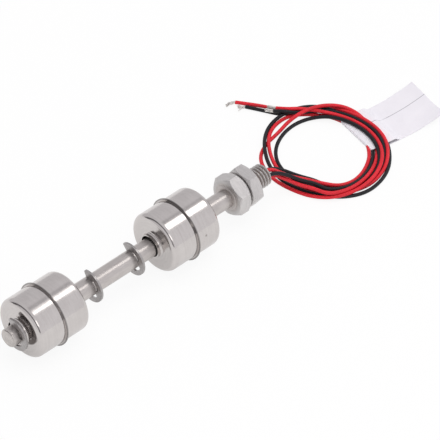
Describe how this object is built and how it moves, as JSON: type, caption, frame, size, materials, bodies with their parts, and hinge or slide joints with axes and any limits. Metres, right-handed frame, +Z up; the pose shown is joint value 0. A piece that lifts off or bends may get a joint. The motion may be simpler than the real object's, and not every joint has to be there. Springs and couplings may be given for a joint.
{
  "type": "float level switch",
  "caption": "Vertical liquid level switch: straight steel stem with sliding cylindrical floats between clips, threaded hexagonal head with lock nut, coiled lead wires",
  "frame": {"origin": "on the floor under the middle of the switch as it lies on its floats, lead wires left out", "axes": "+X along the stem from the closed end to the thread, +Y across it, +Z up"},
  "size_m": [0.23, 0.0821, 0.028],
  "materials": {
    "stem_steel": "polished",
    "clip_steel": "satin",
    "head_steel": "satin",
    "float_steel": "polished",
    "magnet_ferrite": "matte",
    "reed_glass": "gloss",
    "reed_wire": "satin",
    "sleeving": "matte",
    "potting_resin": "satin",
    "red_insulation": "satin",
    "black_insulation": "satin",
    "tinned_copper": "satin",
    "label_paper": "matte"
  },
  "bodies": {
    "switch": {"stem_tube": "stem_steel", "stem_end_plug": "stem_steel", "retaining_clip_bottom": "clip_steel", "retaining_clip_lower": "clip_steel", "retaining_clip_upper": "clip_steel", "threaded_head": "head_steel", "potting": "potting_resin", "wire_coil": "red_insulation", "wire_label": "label_paper", "lower_reed_capsule": "reed_glass", "lower_reed_leads": "reed_wire", "lower_reed_sleeve": "sleeving", "lower_joint_sleeves": "sleeving", "upper_reed_capsule": "reed_glass", "upper_reed_leads": "reed_wire", "upper_reed_sleeve": "sleeving", "upper_joint_sleeves": "sleeving", "inner_wire_red_1": "red_insulation", "wire_exit_red_1": "red_insulation", "wire_tail_red_1": "red_insulation", "tinned_end_red_1": "tinned_copper", "inner_wire_black_1": "black_insulation", "wire_exit_black_1": "black_insulation", "wire_tail_black_1": "black_insulation", "tinned_end_black_1": "tinned_copper", "inner_wire_red_2": "red_insulation", "wire_exit_red_2": "red_insulation", "wire_tail_red_2": "red_insulation", "tinned_end_red_2": "tinned_copper", "inner_wire_black_2": "black_insulation", "wire_exit_black_2": "black_insulation", "wire_tail_black_2": "black_insulation", "tinned_end_black_2": "tinned_copper"},
    "lower_float": {"lower_float_lower_cup": "float_steel", "lower_float_upper_cup": "float_steel", "lower_float_bore_tube": "float_steel", "lower_float_magnet": "magnet_ferrite"},
    "upper_float": {"upper_float_lower_cup": "float_steel", "upper_float_upper_cup": "float_steel", "upper_float_bore_tube": "float_steel", "upper_float_magnet": "magnet_ferrite"},
    "lock_nut": {"lock_nut": "head_steel"}
  },
  "joints": [
    {"name": "lower_float_slide", "type": "slide", "parent": "switch", "child": "lower_float", "axis": [1, 0, 0], "range_m": [-0.00025, 0.00905]},
    {"name": "upper_float_slide", "type": "slide", "parent": "switch", "child": "upper_float", "axis": [1, 0, 0], "range_m": [-0.00905, 0.01275]},
    {"name": "lock_nut_travel", "type": "slide", "parent": "switch", "child": "lock_nut", "axis": [1, 0, 0], "range_m": [-0.0002, 0.008]}
  ]
}
